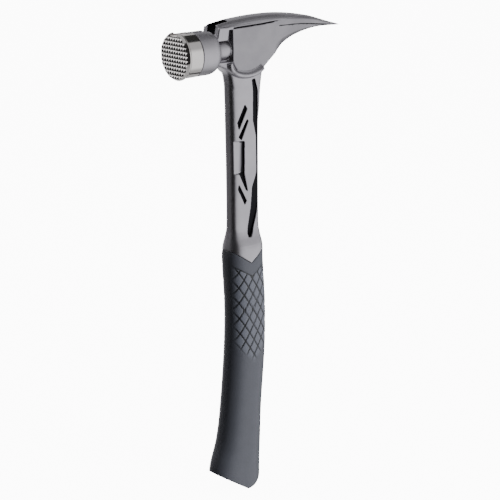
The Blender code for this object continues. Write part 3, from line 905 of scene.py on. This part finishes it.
def milled_cuts(turn):
    """V-shaped cutters side by side. They run up and down, or across after a quarter turn about X."""
    start = FACE_X - 0.1
    half = 0.5 * (TOOTH_PITCH - TOOTH_LAND) * (TOOTH_DEPTH + 0.1) / TOOTH_DEPTH
    cuts = bmesh.new()
    for number in range(-6, 7):
        middle = (number + 0.5) * TOOTH_PITCH
        shape = [(start, -half), (start, half), (FACE_X + TOOTH_DEPTH, 0)]
        low = cuts.faces.new([cuts.verts.new((x, middle + y, -25)) for x, y in shape])
        made = bmesh.ops.extrude_face_region(cuts, geom=[low])["geom"]
        moved = [item for item in made if isinstance(item, bmesh.types.BMVert)]
        bmesh.ops.translate(cuts, verts=moved, vec=(0, 0, 50))
    bmesh.ops.recalc_face_normals(cuts, faces=cuts.faces[:])
    bmesh.ops.rotate(cuts, verts=cuts.verts[:], cent=(0, 0, 0), matrix=Matrix.Rotation(turn, 3, "X"))
    bmesh.ops.translate(cuts, verts=cuts.verts[:], vec=(0, 0, HEAD_Z))
    return cuts


rim_x = FACE_X + 2.6
profile = [(FACE_X, 0), (FACE_X, TOOTH_DISC_RADIUS), (rim_x, FACE_RADIUS), (rim_x + 0.6, FACE_RADIUS)]
profile += [(rim_x + 2.2, FLANGE_RADIUS)]
profile += [(SEAT_X - 0.4, FLANGE_RADIUS), (SEAT_X, FLANGE_RADIUS - 0.4), (SEAT_X, SPIGOT_RADIUS)]
profile += [(SPIGOT_END_X - 0.8, SPIGOT_RADIUS), (SPIGOT_END_X, SPIGOT_RADIUS - 0.8), (SPIGOT_END_X, 0)]
striking_face = new_object(turned(profile, 0.0, 144), "milled_face")
thread = bored(SCREW_HOLE_RADIUS, SPIGOT_END_X - 8.6, SPIGOT_END_X + 3, SCREW_RISE)
combine(striking_face, "DIFFERENCE", [thread, top_groove(), milled_cuts(0.0), milled_cuts(math.pi / 2)])
baked(striking_face)
tips = [face.normal.x < -0.98 and face.center.x < FACE_X + 0.1 for face in striking_face.data.polygons]
mark = striking_face.data.attributes.new("worn", "FLOAT", "FACE")
mark.data.foreach_set("value", [float(tip) for tip in tips])
print("flat tooth tips:", sum(tips))
finish(striking_face, steel, "striking_face", "striking_face", 25)

# %% [markdown]
# ## The screw, the washer and the magnet
#
# These three small pieces sit deep in the nail slot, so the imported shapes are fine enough. They only need
# better materials, which go into their material slots.

# %%
for node, material in (("face_screw", black_steel), ("lock_washer", black_steel), ("nail_magnet", nickel)):
    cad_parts[node].data.materials[0] = material

# %% [markdown]
# ## The rubber grip
#
# The grip is cut from the handle's outline by the V-shaped seam above and the sloped end below. Two families
# of slanted lines cross on its sides. They are pressed into the surface, and leave rows of tall diamonds.

# %%
DIAMOND_WIDTH = 7.9
DIAMOND_HEIGHT = 12.8
DIAMOND_CROSSING = (22.1, 171.0)
LINE_DEPTH = 0.45
LINE_HALF_WIDTH = 0.5
SIDE_Y = 5.5  # the pattern is pressed in only where the surface is at least this far from the middle


def butt_region():
    """Everything above the sloped end face and the round heel."""
    slope, heel_x = 0.65, 12.5
    outline = [(-60, slope * 60)]
    for angle in spread(0.0, math.pi / 2, 12):
        outline.append((heel_x + 18.7 * math.sin(angle), -slope * heel_x + 16.2 * (1 - math.cos(angle))))
    outline += [(91.0, 23.0), (91.0, 244.0), (-60, 244.0)]
    return prism(outline, -40, 40)


def ramp(values, low, high):
    """0 below low, 1 above high, and a soft step between them."""
    t = np.clip((values - low) / (high - low), 0, 1)
    return t * t * (3 - 2 * t)


def diamond_lines(x, z):
    """Two shares for each place: how deep the pressed lines are there, and how much it is a raised pad."""
    along, up_by = (x - DIAMOND_CROSSING[0]) / DIAMOND_WIDTH, (z - DIAMOND_CROSSING[1]) / DIAMOND_HEIGHT
    to_line = 1 / math.hypot(1 / DIAMOND_WIDTH, 1 / DIAMOND_HEIGHT)
    depth = np.zeros(len(x))
    for family in (up_by + along, up_by - along):
        distance = np.abs(family - np.round(family)) * to_line
        depth = np.maximum(depth, 1 - ramp(distance, 0.3 * LINE_HALF_WIDTH, 1.7 * LINE_HALF_WIDTH))
    top = 173.0 + 0.62 * np.abs(x - 22.1)
    bottom = 98.0 + 0.95 * np.abs(x - 22.0)
    field = ramp(top - z, 0.0, 0.6) * ramp(z - bottom, 0.0, 9.0) * ramp(x, 5.5, 10.5)
    edge = 1 - ramp(np.abs(top - z), 0.3 * LINE_HALF_WIDTH, 1.7 * LINE_HALF_WIDTH)
    return np.maximum(depth * field, edge * ramp(x, 5.5, 10.5)), field * (1 - depth)


grip = new_object(handle_solid(-14, 204, 80), "grip")
combine(grip, "INTERSECT", [butt_region()])
combine(grip, "DIFFERENCE", [above_seam(GAP * math.hypot(1, SEAM_SLOPE)), tang_solid(GAP)])
baked(grip)
cast(grip, 0.42, 4, 0.75)
points = positions(grip.data)
normals = np.empty(len(points) * 3, np.float32)
grip.data.vertices.foreach_get("normal", normals)
normals = normals.reshape(-1, 3)
lines, pads = diamond_lines(points[:, 0], points[:, 2])
lines, pads = [share * (np.abs(points[:, 1]) > SIDE_Y) for share in (lines, pads)]
moved = points - normals * (LINE_DEPTH * lines)[:, None]
grip.data.vertices.foreach_set("co", moved.astype(np.float32).ravel())
for name, shares in (("pressed", lines), ("pad", pads)):
    mark = grip.data.attributes.new(name, "FLOAT", "POINT")
    mark.data.foreach_set("value", shares.astype(np.float32))
print("pressed points:", int((lines > 0.5).sum()), "of", len(points))

# %% [markdown]
# The rubber is a dull dark grey with a fine moulded grain. The pads between the lines are a lighter grey, and
# the pressed lines are painted near black: painted shade in the grooves.

# %%
rubber, rubber_tree, rubber_shader, rubber_place = new_material("moulded grey rubber")
mottle = add_node(rubber_tree, "ShaderNodeTexNoise", {"Vector": rubber_place, "Scale": 90.0, "Detail": 4.0})
surface = add_node(
    rubber_tree,
    "ShaderNodeMix",
    {"Factor": mottle.outputs["Fac"], "A": hex_colour("4c4e56"), "B": hex_colour("565861")},
    data_type="RGBA",
)
pad = add_node(rubber_tree, "ShaderNodeAttribute", attribute_name="pad")
lighter_pads = add_node(
    rubber_tree,
    "ShaderNodeMix",
    {"Factor": pad.outputs["Fac"], "A": surface.outputs["Result"], "B": hex_colour("6a6d78")},
    data_type="RGBA",
)
# Painted shade: the pressed lines are mixed to near black 08090b.
pressed = add_node(rubber_tree, "ShaderNodeAttribute", attribute_name="pressed")
lined = add_node(
    rubber_tree,
    "ShaderNodeMix",
    {"Factor": pressed.outputs["Fac"], "A": lighter_pads.outputs["Result"], "B": hex_colour("08090b")},
    data_type="RGBA",
)
rubber_tree.links.new(lined.outputs["Result"], rubber_shader.inputs["Base Color"])
rubber_shader.inputs["Roughness"].default_value = 0.48
grain = add_node(rubber_tree, "ShaderNodeTexNoise", {"Vector": rubber_place, "Scale": 1600.0, "Detail": 2.0})
rubber_bump = add_node(
    rubber_tree, "ShaderNodeBump", {"Height": grain.outputs["Fac"], "Strength": 1.0, "Distance": 0.000015}
)
rubber_tree.links.new(rubber_bump.outputs["Normal"], rubber_shader.inputs["Normal"])
finish(grip, rubber, "hammer", "rubber_grip")
